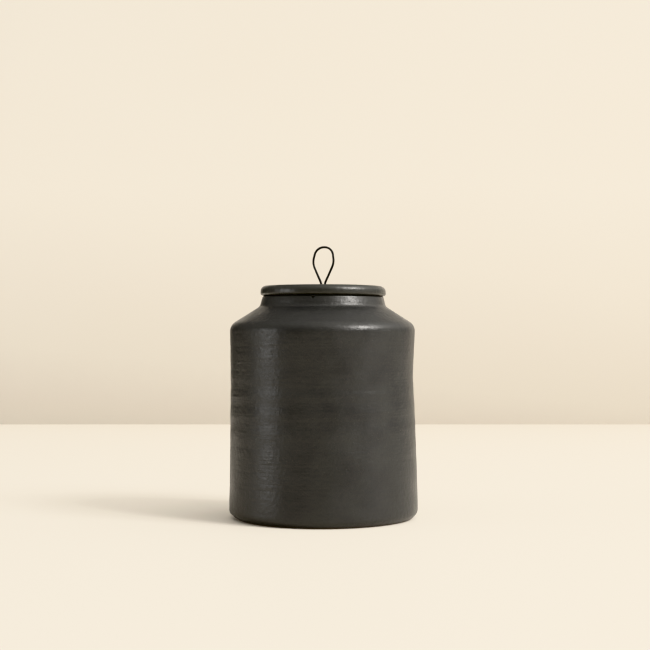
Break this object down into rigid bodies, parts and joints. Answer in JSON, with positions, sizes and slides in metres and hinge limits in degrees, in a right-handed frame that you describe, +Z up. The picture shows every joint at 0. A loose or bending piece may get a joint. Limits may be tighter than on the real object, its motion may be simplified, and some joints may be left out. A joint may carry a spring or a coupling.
{
  "type": "candle jar",
  "caption": "Empty thrown stoneware candle jar in satin charcoal, with a short neck, a flat lid that lifts off and a black wire loop to lift it by.",
  "frame": {"origin": "where the jar's axis meets the surface that the foot stands on", "axes": "+Z up along the jar's axis; the wire loop lies in the XZ plane at rest and -Y is the front"},
  "size_m": [0.1022, 0.1022, 0.1463],
  "materials": {
    "jar_glaze": "satin",
    "lid_glaze": "satin",
    "black_wire": "satin"
  },
  "bodies": {
    "jar": {"jar_body": "jar_glaze"},
    "lid": {"lid": "lid_glaze"},
    "loop": {"wire_loop": "black_wire"}
  },
  "joints": [
    {"name": "lid_lift", "type": "slide", "parent": "jar", "child": "lid", "axis": [0, 0, 1], "range_m": [0, 0.06]},
    {"name": "loop_swivel", "type": "hinge", "parent": "lid", "child": "loop", "pos_m": [0, 0, 0.122], "axis": [0, 0, 1], "continuous": true}
  ]
}
